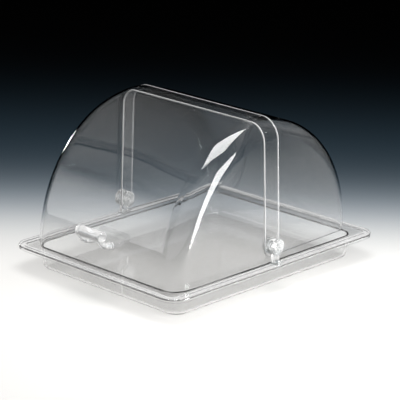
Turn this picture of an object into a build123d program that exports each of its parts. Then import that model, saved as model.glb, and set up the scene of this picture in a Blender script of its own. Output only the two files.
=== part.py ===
from build123d import *
import os
from math import asin, cos, radians, sin, sqrt, tan

# A clear covered display container: a tray and two nesting quarter-round lids that roll on one
# pair of side pivots. +X is the rear, -Y the right-hand side, the origin is under the tray's middle.

# Tray
tray_length = 450.0
tray_width = 360.0
tray_height = 40.0
sheet = 3.0
rim_corner = 30.0
rim_edge_round = 1.4
lip_height = 6.0
front_margin = 12.0
side_margin = 17.0
step_depth = 1.5
step_corner = 10.0
step_edge_round = 0.6
well_corner = 22.0
well_taper = 5.0
well_bottom_round = 9.0
well_edge_round = 1.5

# Lids
foot_flare = 10.0
lid_wall = 2.5
lid_gap = 3.0
side_gap = 2.7
side_draft = 2.1
front_corner = 33.0
pivot_drop = 28.0
overlap = 13.6
recess_clearance = 1.3
front_clearance = 9.5
end_seat = 6.0
side_seat = 6.7
foot_gap = 0.3
rear_lift = 10.0
lid_edge_round = 0.8

# Pivots
bolt_diameter = 8.0
running_clearance = 0.05
thread_clearance = 0.02
end_play = 0.12
spacer_diameter = 22.0
bracket_setback = 0.2
bracket_thickness = 6.0
bracket_head = 26.0
bracket_stem = 12.0
bracket_foot_reach = 13.5
bracket_foot_height = 4.0
knob_diameter = 25.5
knob_height = 6.5
knob_rim = 3.2
cap_height = 4.2
cap_rim = 2.2
ring_groove = 0.6
inner_ring = 9.0
outer_ring = 18.0
bolt_grip = 2.6
soft_edge = 1.0

# Handle
grip_diameter = 17.0
grip_length = 54.0
grip_end_round = 3.0
leg_diameter = 10.0
leg_margin = 1.0
handle_reach = 24.0
handle_rise = 15.0
handle_height = 41.5
pad_diameter = 13.0
pad_height = 2.5

# Screws
screw_diameter = 4.0
screw_head = 7.6
screw_head_height = 2.4
screw_bite = 10.0
screw_hole_clearance = 0.2
washer_diameter = 11.0
washer_height = 1.0
bracket_screw_diameter = 3.0
bracket_screw_head = 5.6
drive_across_flats = 2.5
drive_depth = 1.4

# Worked-out places
ledge_z = tray_height - step_depth
pivot_z = ledge_z + pivot_drop
pivot_axis = Axis((0, 0, pivot_z), (0, 1, 0))
step_length = tray_length - 2 * front_margin
step_width = tray_width - 2 * side_margin
front_foot_z = ledge_z + foot_gap
rear_foot_z = ledge_z + rear_lift

# The front lid stands on the ledge just outside the well, and clears the rear one all round.
front_foot = step_length / 2 - front_clearance
front_radius = front_foot - foot_flare
rear_radius = front_radius - lid_wall - lid_gap
rear_corner = front_corner - lid_wall - lid_gap
front_half = step_width / 2 - recess_clearance
rear_half = front_half - lid_wall - side_gap
well_length = 2 * (front_foot - lid_wall - end_seat)
well_width = 2 * (front_half - lid_wall - side_seat)
bracket_y = step_width / 2 + bracket_setback
knob_y = bracket_y + bracket_thickness + end_play
cap_y = rear_half - lid_wall - end_play
screw_y = bracket_y + (bracket_thickness + bracket_foot_reach) / 2

# The front lid leaves its round at 45 degrees and runs on a larger, tangent arc to its foot.
slope = radians(45)
arc_run = front_foot - front_radius * cos(slope)
arc_fall = pivot_z - front_foot_z + front_radius * sin(slope)
flare_radius = (arc_run**2 + arc_fall**2) / (sqrt(2) * (arc_fall - arc_run))
flare_shift = flare_radius - front_radius
flare_x = flare_shift * cos(slope)
flare_z = pivot_z - flare_shift * sin(slope)
flare_axis = Axis((flare_x, 0, flare_z), (0, 1, 0))
flare_seam = Plane(origin=(0, 0, pivot_z), x_dir=(0, 1, 0), z_dir=(1, 0, 1))

# The handle stands square on the flared wall, at its own height above the ledge, with its legs
# just inside the ends of the grip.
leg_spacing = grip_length - leg_diameter - 2 * leg_margin
handle_lean = asin((ledge_z + handle_height - flare_z) / flare_radius)
handle_out = (-cos(handle_lean), 0, sin(handle_lean))
handle_foot_x = flare_x - flare_radius * cos(handle_lean)
handle_foot_z = ledge_z + handle_height
handle_plane = Plane(origin=(handle_foot_x, 0, handle_foot_z), x_dir=(0, -1, 0), z_dir=handle_out)
washer_seat = lid_wall + (washer_diameter / 2) ** 2 / (2 * (flare_radius - lid_wall))

sides = (("right", -1), ("left", 1))


def drum_outline(radius, half_width, flat, corner):
    """Half section of a drum: flat beside its axis, drawn in by the draft, rounded to its roof."""
    edge = half_width - (radius - flat) * tan(radians(side_draft))
    with BuildLine() as outline:
        FilletPolyline(
            (0, half_width),
            (flat, half_width),
            (radius, edge),
            (radius, -edge),
            (flat, -half_width),
            (0, -half_width),
            radius=corner,
        )
        Line((0, -half_width), (0, half_width))
    return outline.wires()


def drum_section(axis, radius, half_width, flat, corner):
    """Section of a hollow drum of one wall thickness, on the level plane through its axis."""
    inner = (radius - lid_wall, half_width - lid_wall, flat, corner - lid_wall)
    with BuildSketch(Plane(origin=axis.position)) as section:
        make_face(drum_outline(radius, half_width, flat, corner).edges())
        make_face(drum_outline(*inner).edges(), mode=Mode.SUBTRACT)
    return section.sketch


def pivot_plane(sign, y):
    """Plane square to the pivot axis at one side, its own Z pointing outward."""
    return Plane(origin=(0, sign * y, pivot_z), x_dir=(-sign, 0, 0), z_dir=(0, sign, 0))


def turning_plane(sign, y):
    """Plane through the pivot axis: its X is the distance from the axis, its Y points outward."""
    return Plane(origin=(0, sign * y, pivot_z), x_dir=(1, 0, 0), z_dir=(0, 0, sign))


def button_section(height, rim):
    """Half section of a domed round button with two V grooves, its flat back on the X axis."""
    drop = height - rim
    dome_radius = (knob_diameter**2 / 4 + drop**2) / (2 * drop)
    with BuildSketch() as section:
        with BuildLine():
            dome = TangentArc((0, height), (knob_diameter / 2, rim), tangent=(1, 0))
            Polyline(dome @ 1, (knob_diameter / 2, 0), (0, 0), dome @ 0)
        make_face()
        for ring in (inner_ring / 2, outer_ring / 2):
            with Locations((ring, height - dome_radius + sqrt(dome_radius**2 - ring**2))):
                Rectangle(ring_groove, ring_groove, rotation=45, mode=Mode.SUBTRACT)
    return section.sketch


def toe_corner(sign, foot_z):
    """Waste outside the rounded toe of a lid's side, which would dig into the ledge as it turns."""
    with BuildSketch() as waste:
        with Locations((sign * overlap / 2, foot_z + overlap / 2)):
            Rectangle(overlap, overlap)
        with Locations((0, foot_z + overlap)):
            Circle(overlap, mode=Mode.SUBTRACT)
    return waste.sketch


# Tray: stepped rim with a turned-down lip, a ledge for the lids and a tapered well
well_depth = ledge_z - sheet
inset = ledge_z * tan(radians(well_taper))
floor_inset = well_depth * tan(radians(well_taper))
with BuildPart() as tray:
    with BuildSketch():
        RectangleRounded(
            well_length + 2 * sheet - 2 * inset, well_width + 2 * sheet - 2 * inset, well_corner
        )
    with BuildSketch(Plane.XY.offset(ledge_z)):
        RectangleRounded(well_length + 2 * sheet, well_width + 2 * sheet, well_corner + sheet)
    loft()
    fillet(tray.faces().sort_by(Axis.Z)[0].edges(), well_bottom_round)
    with BuildSketch(Plane.XY.offset(tray_height - sheet)):
        RectangleRounded(tray_length, tray_width, rim_corner)
    extrude(amount=sheet)
    with BuildSketch(Plane.XY.offset(tray_height - lip_height)):
        RectangleRounded(tray_length, tray_width, rim_corner)
        RectangleRounded(
            tray_length - 2 * sheet, tray_width - 2 * sheet, rim_corner - sheet, mode=Mode.SUBTRACT
        )
    extrude(amount=lip_height)
    with BuildSketch(Plane.XY.offset(ledge_z - sheet)):
        RectangleRounded(step_length + 2 * sheet, step_width + 2 * sheet, step_corner + sheet)
    extrude(amount=sheet)
    with BuildSketch(Plane.XY.offset(ledge_z)):
        RectangleRounded(step_length, step_width, step_corner)
    extrude(amount=step_depth, mode=Mode.SUBTRACT)
    rim_face = tray.faces().sort_by(Axis.Z)[-1]
    fillet(rim_face.inner_wires()[0].edges(), step_edge_round)
    rim_face = tray.faces().sort_by(Axis.Z)[-1]
    fillet(rim_face.outer_wire().edges(), rim_edge_round)
    lip_face = tray.faces().filter_by(Axis.Z).filter_by_position(
        Axis.Z, tray_height - lip_height, tray_height - lip_height
    )[0]
    fillet(lip_face.outer_wire().edges(), rim_edge_round)
with BuildPart() as well:
    with BuildSketch(Plane.XY.offset(sheet)):
        RectangleRounded(
            well_length - 2 * floor_inset, well_width - 2 * floor_inset, well_corner - sheet
        )
    with BuildSketch(Plane.XY.offset(ledge_z)):
        RectangleRounded(well_length, well_width, well_corner)
    loft()
    fillet(well.faces().sort_by(Axis.Z)[0].edges(), well_bottom_round - sheet)
with BuildPart() as tray_whole:
    add(tray.part)
    add(well.part, mode=Mode.SUBTRACT)
    ledge_face = tray_whole.faces().filter_by(Axis.Z).filter_by_position(Axis.Z, ledge_z, ledge_z)[0]
    fillet(ledge_face.inner_wires()[0].edges(), well_edge_round)
    with BuildSketch(Plane.XY.offset(tray_height)):
        with Locations((0, screw_y), (0, -screw_y)):
            Circle(bracket_screw_diameter / 2 + thread_clearance)
    extrude(amount=-2 * sheet, mode=Mode.SUBTRACT)
tray_whole.part.label = "tray"

# Front lid: the outer hood, round above and flared towards its foot
with BuildPart() as front_flare:
    flare_flat = pivot_drop + flare_shift
    revolve(drum_section(flare_axis, flare_radius, front_half, flare_flat, front_corner), flare_axis)
    split(bisect_by=flare_seam, keep=Keep.BOTTOM)
with BuildPart() as front_lid:
    revolve(drum_section(pivot_axis, front_radius, front_half, pivot_drop, front_corner), pivot_axis)
    split(bisect_by=flare_seam, keep=Keep.TOP)
    add(front_flare.part)
    split(bisect_by=Plane.YZ.offset(overlap), keep=Keep.BOTTOM)
    split(bisect_by=Plane.XY.offset(front_foot_z), keep=Keep.TOP)
    with BuildSketch(Plane.XZ):
        add(toe_corner(1, front_foot_z))
    extrude(amount=front_half, both=True, mode=Mode.SUBTRACT)
    with BuildSketch(Plane.XZ):
        with Locations((0, pivot_z)):
            Circle(bolt_diameter / 2 + running_clearance)
    extrude(amount=front_half, both=True, mode=Mode.SUBTRACT)
    with BuildSketch(handle_plane):
        with GridLocations(leg_spacing, 0, 2, 1):
            Circle(screw_diameter / 2 + screw_hole_clearance)
    extrude(amount=2 * lid_wall, both=True, mode=Mode.SUBTRACT)
    cut_face = front_lid.faces().sort_by(Axis.X)[-1]
    fillet(cut_face.edges(), lid_edge_round)
front_lid.part.label = "front_lid"

# Rear lid: the inner hood, round about the pivots all the way down and cut off above the ledge
with BuildPart() as rear_lid:
    revolve(drum_section(pivot_axis, rear_radius, rear_half, pivot_drop, rear_corner), pivot_axis)
    split(bisect_by=Plane.YZ.offset(-overlap), keep=Keep.TOP)
    split(bisect_by=Plane.XY.offset(rear_foot_z), keep=Keep.TOP)
    with BuildSketch(Plane.XZ):
        add(toe_corner(-1, rear_foot_z))
    extrude(amount=front_half, both=True, mode=Mode.SUBTRACT)
    with BuildSketch(Plane.XZ):
        with Locations((0, pivot_z)):
            Circle(bolt_diameter / 2 + running_clearance)
    extrude(amount=front_half, both=True, mode=Mode.SUBTRACT)
    cut_face = rear_lid.faces().sort_by(Axis.X)[0]
    fillet(cut_face.edges(), lid_edge_round)
rear_lid.part.label = "rear_lid"

# Handle: round grip bar on two curved legs, each ending in a pad on the flared wall
leg_plane = Plane(
    origin=handle_plane.from_local_coords((leg_spacing / 2, 0, 0)),
    x_dir=handle_out,
    z_dir=(0, 1, 0),
)
grip_centre = handle_plane.from_local_coords((0, handle_rise, handle_reach))
with BuildPart() as handle:
    with BuildLine(leg_plane):
        shank = Line((0, 0), (handle_reach - handle_rise, 0))
        JernArc(shank @ 1, shank % 1, handle_rise, 90)
    with BuildSketch(Plane(origin=leg_plane.origin, x_dir=(0, -1, 0), z_dir=handle_out)):
        Circle(leg_diameter / 2)
    sweep()
    with BuildSketch(Plane(origin=leg_plane.origin, x_dir=(0, -1, 0), z_dir=handle_out)):
        Circle(pad_diameter / 2)
    extrude(amount=pad_height)
    mirror(about=Plane.XZ)
    with BuildSketch(Plane(origin=grip_centre, x_dir=(1, 0, 0), z_dir=(0, -1, 0))):
        Circle(grip_diameter / 2)
    extrude(amount=grip_length / 2, both=True)
    grip_rims = handle.edges().filter_by(GeomType.CIRCLE).group_by(Axis.Y)
    fillet(grip_rims[0] + grip_rims[-1], grip_end_round)
    with BuildSketch(handle_plane):
        with GridLocations(leg_spacing, 0, 2, 1):
            Circle(screw_diameter / 2 + thread_clearance)
    extrude(amount=screw_bite, mode=Mode.SUBTRACT)
handle.part.label = "handle"

# Handle screws and their washers, on the inner face of the front lid
washer_plane = handle_plane.offset(-washer_seat)
head_plane = washer_plane.offset(-washer_height)
with BuildPart() as handle_washers:
    with BuildSketch(washer_plane):
        with GridLocations(leg_spacing, 0, 2, 1):
            Circle(washer_diameter / 2)
            Circle(screw_diameter / 2 + screw_hole_clearance, mode=Mode.SUBTRACT)
    extrude(amount=-washer_height)
handle_washers.part.label = "handle_washers"
with BuildPart() as handle_screws:
    with BuildSketch(head_plane):
        with GridLocations(leg_spacing, 0, 2, 1):
            Circle(screw_head / 2)
    extrude(amount=-screw_head_height)
    crown = handle_screws.edges().group_by(Axis(head_plane.origin, handle_out))[0]
    fillet(crown, soft_edge)
    with BuildSketch(head_plane):
        with GridLocations(leg_spacing, 0, 2, 1):
            Circle(screw_diameter / 2)
    extrude(amount=washer_seat + washer_height + screw_bite - soft_edge)
    with BuildSketch(head_plane.offset(-screw_head_height)):
        with GridLocations(leg_spacing, 0, 2, 1):
            RegularPolygon(drive_across_flats / 2, 6, major_radius=False)
    extrude(amount=drive_depth, mode=Mode.SUBTRACT)
handle_screws.part.label = "handle_screws"

# Bracket screws: one through the foot of each bracket into the rim
screw_head_z = tray_height + bracket_foot_height
with BuildPart() as bracket_screws:
    with BuildSketch(Plane.XY.offset(screw_head_z)):
        with GridLocations(0, 2 * screw_y, 1, 2):
            Circle(bracket_screw_head / 2)
    extrude(amount=screw_head_height)
    fillet(bracket_screws.edges().group_by(Axis.Z)[-1], soft_edge)
    with BuildSketch(Plane.XY.offset(screw_head_z)):
        with GridLocations(0, 2 * screw_y, 1, 2):
            Circle(bracket_screw_diameter / 2)
    extrude(amount=-bracket_foot_height - sheet)
    with BuildSketch(Plane.XY.offset(screw_head_z + screw_head_height)):
        with GridLocations(0, 2 * screw_y, 1, 2):
            RegularPolygon(drive_across_flats / 2, 6, major_radius=False)
    extrude(amount=-drive_depth, mode=Mode.SUBTRACT)
bracket_screws.part.label = "bracket_screws"

finished = [tray_whole, front_lid, rear_lid, handle, handle_washers, handle_screws, bracket_screws]

# Pivots: from the outside in, each has a knob, a bracket, a spacer, the front lid's side,
# a spacer, the rear lid's side and a cap, all on one bolt.
for side, sign in sides:
    with BuildPart() as bracket:
        with BuildSketch(pivot_plane(sign, bracket_y)):
            Circle(bracket_head / 2)
            with Locations((0, -(pivot_z - tray_height) / 2)):
                Rectangle(bracket_stem, pivot_z - tray_height)
        extrude(amount=bracket_thickness)
        with BuildSketch(Plane(origin=(0, sign * bracket_y, tray_height), x_dir=(1, 0, 0))):
            SlotOverall(bracket_foot_reach * 2, bracket_stem, rotation=90)
            with Locations((0, -sign * bracket_foot_reach)):
                Rectangle(2 * bracket_stem, 2 * bracket_foot_reach, mode=Mode.SUBTRACT)
        extrude(amount=bracket_foot_height)
        with BuildSketch(pivot_plane(sign, bracket_y)):
            Circle(bolt_diameter / 2 + running_clearance)
        extrude(amount=bracket_thickness, mode=Mode.SUBTRACT)
        with BuildSketch(Plane.XY.offset(tray_height)):
            with Locations((0, sign * screw_y)):
                Circle(bracket_screw_diameter / 2 + screw_hole_clearance)
        extrude(amount=bracket_foot_height, mode=Mode.SUBTRACT)
    bracket.part.label = f"pivot_bracket_{side}"

    with BuildPart() as bolt:
        with BuildSketch(pivot_plane(sign, cap_y - bolt_grip)):
            Circle(bolt_diameter / 2)
        extrude(amount=knob_y - cap_y + 2 * bolt_grip)
        chamfer(bolt.edges().filter_by(GeomType.CIRCLE), soft_edge / 2)
    bolt.part.label = f"pivot_bolt_{side}"

    with BuildPart() as knob:
        with BuildSketch(turning_plane(sign, knob_y)):
            add(button_section(knob_height, knob_rim))
        revolve(axis=pivot_axis)
        with BuildSketch(pivot_plane(sign, knob_y)):
            Circle(bolt_diameter / 2 + thread_clearance)
        extrude(amount=bolt_grip + end_play, mode=Mode.SUBTRACT)
    knob.part.label = f"pivot_knob_{side}"

    with BuildPart() as cap:
        with BuildSketch(turning_plane(-sign, -cap_y)):
            add(button_section(cap_height, cap_rim))
        revolve(axis=pivot_axis)
        with BuildSketch(pivot_plane(sign, cap_y)):
            Circle(bolt_diameter / 2 + thread_clearance)
        extrude(amount=-bolt_grip - end_play, mode=Mode.SUBTRACT)
    cap.part.label = f"pivot_cap_{side}"

    with BuildPart() as lid_spacer:
        with BuildSketch(pivot_plane(sign, rear_half + end_play)):
            Circle(spacer_diameter / 2)
            Circle(bolt_diameter / 2 + running_clearance, mode=Mode.SUBTRACT)
        extrude(amount=side_gap - 2 * end_play)
    lid_spacer.part.label = f"lid_spacer_{side}"

    with BuildPart() as bracket_spacer:
        with BuildSketch(pivot_plane(sign, front_half + end_play)):
            Circle(spacer_diameter / 2)
            Circle(bolt_diameter / 2 + running_clearance, mode=Mode.SUBTRACT)
        extrude(amount=bracket_y - front_half - 2 * end_play)
    bracket_spacer.part.label = f"bracket_spacer_{side}"

    finished += [bracket, bolt, knob, cap, lid_spacer, bracket_spacer]

os.makedirs("parts", exist_ok=True)
for piece in finished:
    export_step(piece.part, f"parts/{piece.part.label}.step")
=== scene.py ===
import math

import bpy
from mathutils import Matrix, Vector


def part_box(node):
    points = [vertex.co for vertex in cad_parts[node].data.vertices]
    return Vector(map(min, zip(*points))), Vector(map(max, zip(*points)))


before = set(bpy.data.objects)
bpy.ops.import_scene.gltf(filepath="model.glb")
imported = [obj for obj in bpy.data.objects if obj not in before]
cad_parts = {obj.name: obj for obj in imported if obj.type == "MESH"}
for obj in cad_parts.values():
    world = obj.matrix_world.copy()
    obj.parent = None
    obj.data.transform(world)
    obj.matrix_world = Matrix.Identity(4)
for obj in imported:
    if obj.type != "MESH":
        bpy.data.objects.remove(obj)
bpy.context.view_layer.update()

MILLIMETRE = 0.001

# Camera: a long lens, low over the front right corner of the tray, shifted and rolled a little to frame it
CAMERA_AZIMUTH = math.radians(-45.345)
CAMERA_ELEVATION = math.radians(18.007)
CAMERA_ROLL = math.radians(0.453)
CAMERA_DISTANCE = 3.042
CAMERA_TARGET = Vector((0.0, 0.0, 0.095))
CAMERA_SIDESTEP = 0.0050
CAMERA_LIFT = 0.0057
LENS_MM = 176.7
SENSOR_MM = 36.0

# Clear plastics: typical refractive indices
ACRYLIC_IOR = 1.49
POLYCARBONATE_IOR = 1.585

# Wiping haze: the width of its marks, and the noise levels between which it grows from none to full
WIPING_MM = 45
WIPING_COVER = (0.35, 0.75)

# Edges that scatter light and show white: the width of the band, and how clear it stays at its outer side
FRONT_EDGE = (3.2 * MILLIMETRE, 0.75)
REAR_EDGE = (2.2 * MILLIMETRE, 0.30)
RIM_SCUFF = (1.0 * MILLIMETRE, 0.8)

# Screws: the heading die's marks are about 0.1 mm apart, and are drawn coarser so that they show
DIE_MARKS_MM = 0.6
STEEL_GREY = "#C9CCCF"
STEEL_ROUGHNESS = (0.18, 0.38)

# Floor: just under the tray, so that the two faces don't share a plane
FLOOR_DROP = 0.6 * MILLIMETRE
FLOOR_SIZE = 24.0

# Paper tones: its own white round the object, then painted shade behind it, first cool, then dark slate,
# then near black far behind
PAPER_WHITE = "#BDBCBA"
PAPER_COOL_SHADE = "#B8C1C9"
PAPER_SLATE_SHADE = "#1F2B33"
PAPER_DARK_SHADE = "#020202"
PAPER_ROUGHNESS = 0.5

# Painted shade falls: how far behind the object, or to its right for the side shade, a tone is half gone,
# and how softly it goes
COOL_SHADE_FALL = (0.25, 0.06)
PAPER_SHADE_FALL = (0.22, 0.088)
PAPER_SIDE_SHADE = (0.95, 0.05)
SLATE_SHADE_FALL = (0.80, 0.15)

# Skew: the painted shade falls turn a little off the camera's line
PAPER_SHADE_SKEW = 0.05

# Room: how brightly each part glows, and the cosines off its middle between which it goes from dark to lit
WALL_STRENGTH = 0.75
WALL_TURN = (0.4, 0.8)
CEILING_STRENGTH = 0.1
CEILING_TURN = (0.35, 0.75)
SIDE_STRENGTH = 1.4
SIDE_TURN = (0.9135, 0.990)
SIDE_AZIMUTH = math.radians(-140)
SIDE_ELEVATION = math.radians(5)

# Far lamp: behind the object, mirrored as one short glint on the front lid's left outline
FAR_LAMP_AZIMUTH = math.radians(172)
FAR_LAMP_ELEVATION = math.radians(11.2)
FAR_LAMP_DISTANCE = 2.0

# Bounces: enough for a ray to cross both lids, the tray and a knob, with two faces to each wall
BOUNCES = 24


def linear(hex_colour):
    """An sRGB hex colour as the linear RGBA that shaders take."""
    parts = [int(hex_colour[i : i + 2], 16) / 255 for i in (1, 3, 5)]
    return [c / 12.92 if c <= 0.04045 else ((c + 0.055) / 1.055) ** 2.4 for c in parts] + [1.0]


def add_node(tree, kind, links=None, **settings):
    """Adds a node. A setting is an attribute, or the value of the input of that number or name."""
    node = tree.nodes.new(kind)
    inputs = settings.pop("inputs", {})
    for name, value in settings.items():
        setattr(node, name, value)
    for name, value in inputs.items():
        node.inputs[name].default_value = value
    for name, source in (links or {}).items():
        tree.links.new(source, node.inputs[name])
    return node


def new_material(name):
    """An empty node material."""
    material = bpy.data.materials.new(name)
    material.use_nodes = True
    material.node_tree.nodes.clear()
    return material, material.node_tree


def clear_moulding(name, tint, clear, ior, haze, ripple_mm, ripple_depth_mm, shade, edge=None):
    """Clear plastic: sharp see-through gloss, with the faint ripple of the mould and a wiping haze.

    What isn't clear scatters light, as dust and fine scratches do. Shade is the light that each face
    lets through to what it shadows. An edge that is sawn or scuffed scatters the light led to it by the
    wall, and shows white. It is given as a direction, how far it reaches that way, its width and how
    clear it stays.
    """
    material, tree = new_material(name)
    place = add_node(tree, "ShaderNodeTexCoord")
    ripple = add_node(
        tree, "ShaderNodeTexNoise", {"Vector": place.outputs["Object"]},
        inputs={"Scale": 1 / (ripple_mm * MILLIMETRE), "Detail": 1.5, "Roughness": 0.4},
    )
    wiped = add_node(
        tree, "ShaderNodeTexNoise", {"Vector": place.outputs["Object"]},
        inputs={"Scale": 1 / (WIPING_MM * MILLIMETRE), "Detail": 6.0, "Roughness": 0.65},
    )
    dullness = add_node(
        tree, "ShaderNodeMapRange", {"Value": wiped.outputs["Fac"]},
        inputs={"From Min": WIPING_COVER[0], "From Max": WIPING_COVER[1], "To Min": 0.0, "To Max": haze},
    )
    bump = add_node(
        tree, "ShaderNodeBump", {"Height": ripple.outputs["Fac"]},
        inputs={"Strength": 1.0, "Distance": ripple_depth_mm * MILLIMETRE},
    )
    plastic = add_node(
        tree, "ShaderNodeBsdfPrincipled",
        {"Roughness": dullness.outputs["Result"], "Normal": bump.outputs["Normal"]},
        inputs={"Base Color": linear(tint), "IOR": ior, "Transmission Weight": clear},
    )
    if edge:
        towards, reach, width, edge_clear = edge
        along = add_node(
            tree, "ShaderNodeVectorMath", {0: place.outputs["Object"]},
            operation="DOT_PRODUCT", inputs={1: towards},
        )
        scattered = add_node(
            tree, "ShaderNodeMapRange", {"Value": along.outputs["Value"]},
            inputs={"From Min": reach - width, "From Max": reach, "To Min": clear, "To Max": edge_clear},
        )
        tree.links.new(scattered.outputs["Result"], plastic.inputs["Transmission Weight"])
    # Lamps shine straight through the walls, so that a clear wall casts only a faint shadow
    path = add_node(tree, "ShaderNodeLightPath")
    through = add_node(tree, "ShaderNodeBsdfTransparent", inputs={"Color": linear(shade)})
    either = add_node(
        tree, "ShaderNodeMixShader",
        {0: path.outputs["Is Shadow Ray"], 1: plastic.outputs["BSDF"], 2: through.outputs["BSDF"]},
    )
    add_node(tree, "ShaderNodeOutputMaterial", {"Surface": either.outputs["Shader"]})
    return material


def stainless_screw():
    """Cold-headed stainless steel: bright, with fine marks of the die that soften its glints."""
    material, tree = new_material("stainless_steel_cold_headed")
    place = add_node(tree, "ShaderNodeTexCoord")
    marks = add_node(
        tree, "ShaderNodeTexNoise", {"Vector": place.outputs["Object"]},
        inputs={"Scale": 1 / (DIE_MARKS_MM * MILLIMETRE), "Detail": 3.0},
    )
    dullness = add_node(
        tree, "ShaderNodeMapRange", {"Value": marks.outputs["Fac"]},
        inputs={"To Min": STEEL_ROUGHNESS[0], "To Max": STEEL_ROUGHNESS[1]},
    )
    steel = add_node(
        tree, "ShaderNodeBsdfPrincipled", {"Roughness": dullness.outputs["Result"]},
        inputs={"Base Color": linear(STEEL_GREY), "Metallic": 1.0},
    )
    add_node(tree, "ShaderNodeOutputMaterial", {"Surface": steel.outputs["BSDF"]})
    return material


def fade(tree, towards, start, width):
    """One near the object, falling smoothly to nought about a distance in one direction."""
    place = add_node(tree, "ShaderNodeNewGeometry")
    along = add_node(
        tree, "ShaderNodeVectorMath", {0: place.outputs["Position"]},
        operation="DOT_PRODUCT", inputs={1: towards},
    )
    past = add_node(
        tree, "ShaderNodeMath", {0: along.outputs["Value"]}, operation="SUBTRACT", inputs={1: start}
    )
    fall = add_node(tree, "ShaderNodeMath", {0: past.outputs[0]}, operation="DIVIDE", inputs={1: width})
    grown = add_node(tree, "ShaderNodeMath", {0: fall.outputs[0]}, operation="EXPONENT")
    spread = add_node(tree, "ShaderNodeMath", {0: grown.outputs[0]}, operation="ADD", inputs={1: 1.0})
    return add_node(tree, "ShaderNodeMath", {1: spread.outputs[0]}, operation="DIVIDE", inputs={0: 1.0})


def paper_with_painted_shade(away, aside):
    """Pale matt paper, with shade painted into its colour: it turns cool, then dark blue-grey and near black
    behind the object and off to its right, as paper out of the light does.
    """
    material, tree = new_material("paper_with_painted_shade")
    # Painted shade: dark slate going to near black far behind the object
    far_shade = add_node(
        tree, "ShaderNodeMix", {"Factor": fade(tree, away, *SLATE_SHADE_FALL).outputs[0]}, data_type="RGBA",
        inputs={"A": linear(PAPER_DARK_SHADE), "B": linear(PAPER_SLATE_SHADE)},
    )
    # Painted light: how much of the paper keeps its white, falling behind the object and off to its right
    lit = add_node(
        tree, "ShaderNodeMath",
        {0: fade(tree, away, *PAPER_SHADE_FALL).outputs[0], 1: fade(tree, aside, *PAPER_SIDE_SHADE).outputs[0]},
        operation="MULTIPLY",
    )
    # Painted cool shade where the paper begins to fall out of the light
    white = add_node(
        tree, "ShaderNodeMix", {"Factor": fade(tree, away, *COOL_SHADE_FALL).outputs[0]}, data_type="RGBA",
        inputs={"A": linear(PAPER_COOL_SHADE), "B": linear(PAPER_WHITE)},
    )
    colour = add_node(
        tree, "ShaderNodeMix",
        {"Factor": lit.outputs[0], "A": far_shade.outputs["Result"], "B": white.outputs["Result"]},
        data_type="RGBA",
    )
    paper = add_node(
        tree, "ShaderNodeBsdfPrincipled", {"Base Color": colour.outputs["Result"]},
        inputs={"Roughness": PAPER_ROUGHNESS, "Specular IOR Level": 0.0},
    )
    add_node(tree, "ShaderNodeOutputMaterial", {"Surface": paper.outputs["BSDF"]})
    return material


def dress(nodes, material):
    """Puts one material on the solids of several nodes."""
    for name in nodes:
        for slot in bpy.data.objects[name].material_slots:
            slot.material = material


def softbox(name, place, aim, size, watts):
    """A rectangular lamp. It shows as a glint on plastic, but not as a lit sheet beside or behind it."""
    lamp = bpy.data.lights.new(name, "AREA")
    lamp.shape = "RECTANGLE"
    lamp.size, lamp.size_y = size
    lamp.energy = watts
    box = bpy.data.objects.new(name, lamp)
    box.location = place
    box.rotation_mode = "QUATERNION"
    box.rotation_quaternion = (Vector(aim) - Vector(place)).to_track_quat("-Z", "Y")
    box.visible_camera = False
    box.visible_transmission = False
    bpy.context.scene.collection.objects.link(box)


def direction(azimuth, elevation):
    """Unit vector from the object towards a place at this azimuth and elevation."""
    flat = math.cos(elevation)
    return Vector((math.sin(azimuth) * flat, -math.cos(azimuth) * flat, math.sin(elevation)))


# Camera
scene = bpy.context.scene
back = direction(CAMERA_AZIMUTH, CAMERA_ELEVATION)
right = Vector((math.cos(CAMERA_AZIMUTH), math.sin(CAMERA_AZIMUTH), 0.0))
up = back.cross(right)
across = right * math.cos(CAMERA_ROLL) + up * math.sin(CAMERA_ROLL)
upright = up * math.cos(CAMERA_ROLL) - right * math.sin(CAMERA_ROLL)
camera_data = bpy.data.cameras.new("camera")
camera_data.lens = LENS_MM
camera_data.sensor_width = SENSOR_MM
camera = bpy.data.objects.new("camera", camera_data)
camera.matrix_world = Matrix.Translation(
    CAMERA_TARGET + right * CAMERA_SIDESTEP + up * CAMERA_LIFT + back * CAMERA_DISTANCE
) @ Matrix((across, upright, back)).transposed().to_4x4()
scene.collection.objects.link(camera)
scene.camera = camera

# Lids: acrylic sheet, drawn warm, stays glass clear, so it shows by its glints and its white sawn edges
for lid, towards, sawn in (("front_lid", (1, 0, 0), FRONT_EDGE), ("rear_lid", (-1, 0, 0), REAR_EDGE)):
    reach = max(Vector(towards).dot(corner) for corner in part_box(lid))
    lid_plastic = clear_moulding(
        f"acrylic_thermoformed_{lid}", tint="#FAFAFA", clear=1.0, ior=ACRYLIC_IOR, haze=0.03,
        ripple_mm=60, ripple_depth_mm=0.02, shade="#FCFCFC", edge=(towards, reach, *sawn),
    )
    dress([lid], lid_plastic)

# Tray: moulded polycarbonate bends light strongly, so its rim and corners show as dark and bright lines
tray_plastic = clear_moulding(
    "polycarbonate_moulded_tray", tint="#FDFDFD", clear=0.995, ior=POLYCARBONATE_IOR, haze=0.01,
    ripple_mm=15, ripple_depth_mm=0.03, shade="#F1F1F1",
    edge=((0, 0, 1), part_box("tray")[1].z, *RIM_SCUFF),
)
dress(["tray"], tray_plastic)

# Handle: turned acrylic rod, clouded a little by polishing and by hands, with a bright streak along it
handle_plastic = clear_moulding(
    "acrylic_turned_polished", tint="#FDFDFD", clear=0.84, ior=ACRYLIC_IOR, haze=0.02,
    ripple_mm=25, ripple_depth_mm=0.02, shade="#ECEEEE",
)
dress(["handle"], handle_plastic)

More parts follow.
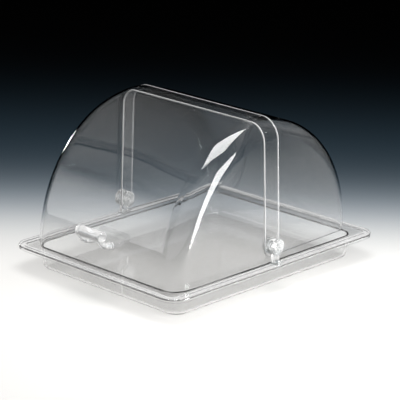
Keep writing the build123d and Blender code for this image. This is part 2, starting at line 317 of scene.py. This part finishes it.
# Pivot fittings: thick polycarbonate mouldings shrink unevenly, and the ripple breaks light into glints
fitting_plastic = clear_moulding(
    "polycarbonate_moulded_fitting", tint="#FCFCFC", clear=0.93, ior=POLYCARBONATE_IOR, haze=0.02,
    ripple_mm=4, ripple_depth_mm=0.20, shade="#F0F2F2",
)
fittings = ("pivot_bracket", "pivot_bolt", "pivot_knob", "pivot_cap", "lid_spacer", "bracket_spacer")
dress([f"{name}_{side}" for name in fittings for side in ("right", "left")], fitting_plastic)
dress(["handle_washers"], fitting_plastic)

# Screws: bright steel, seen through the clear plastic round them
dress(["handle_screws", "bracket_screws"], stainless_screw())

# Studio floor: pale paper with painted shade, which goes dark behind the object
away = -Vector((back.x, back.y, 0.0)).normalized()
half = FLOOR_SIZE / 2
floor_mesh = bpy.data.meshes.new("floor")
floor_mesh.from_pydata(
    [(x * half, y * half, -FLOOR_DROP) for x, y in ((-1, -1), (1, -1), (1, 1), (-1, 1))],
    [], [(0, 1, 2, 3)],
)
floor = bpy.data.objects.new("floor", floor_mesh)
scene.collection.objects.link(floor)
floor_mesh.materials.append(paper_with_painted_shade((away + right * PAPER_SHADE_SKEW).normalized(), right))

# Lights: one overhead, a strip off the right side and a lamp far behind
softbox(
    "top_softbox", place=(-0.06, -0.14, 1.7), aim=(-0.01, -0.09, 0.1), size=(1.05, 1.05), watts=57.0
)
softbox(
    "near_strip", place=(0.025, -0.63, 0.225), aim=(-0.12, -0.16, 0.225), size=(0.20, 0.45), watts=5.4
)
softbox(
    "far_lamp", place=direction(FAR_LAMP_AZIMUTH, FAR_LAMP_ELEVATION) * FAR_LAMP_DISTANCE,
    aim=(-0.1, 0.1, 0.2), size=(0.22, 0.19), watts=4.6,
)

# Room: a pale wall behind the camera, a dim ceiling, a lit patch on the camera's left, and dark elsewhere
world = bpy.data.worlds.new("room")
world.use_nodes = True
room = world.node_tree
outward = add_node(room, "ShaderNodeTexCoord")
glow = []
for towards, turn, strength in (
    (-away, WALL_TURN, WALL_STRENGTH),
    ((0, 0, 1), CEILING_TURN, CEILING_STRENGTH),
    (direction(SIDE_AZIMUTH, SIDE_ELEVATION), SIDE_TURN, SIDE_STRENGTH),
):
    facing = add_node(
        room, "ShaderNodeVectorMath", {0: outward.outputs["Generated"]},
        operation="DOT_PRODUCT", inputs={1: towards},
    )
    glow.append(
        add_node(
            room, "ShaderNodeMapRange", {"Value": facing.outputs["Value"]},
            interpolation_type="SMOOTHSTEP",
            inputs={"From Min": turn[0], "From Max": turn[1], "To Min": 0.0, "To Max": strength},
        )
    )
total = glow[0].outputs["Result"]
for lit in glow[1:]:
    total = add_node(
        room, "ShaderNodeMath", {0: total, 1: lit.outputs["Result"]}, operation="ADD"
    ).outputs[0]
room.links.new(total, room.nodes["Background"].inputs["Strength"])
room.nodes["Background"].inputs["Color"].default_value = linear("#FFFFFF")
scene.world = world

# Colour: straight to the picture, with no film curve
scene.view_settings.view_transform = "Standard"

# Light paths: many bounces for the clear walls, and no caustics, because the walls let lamps shine through
scene.cycles.max_bounces = BOUNCES
scene.cycles.transmission_bounces = BOUNCES
scene.cycles.transparent_max_bounces = BOUNCES
scene.cycles.caustics_refractive = False
scene.cycles.caustics_reflective = False
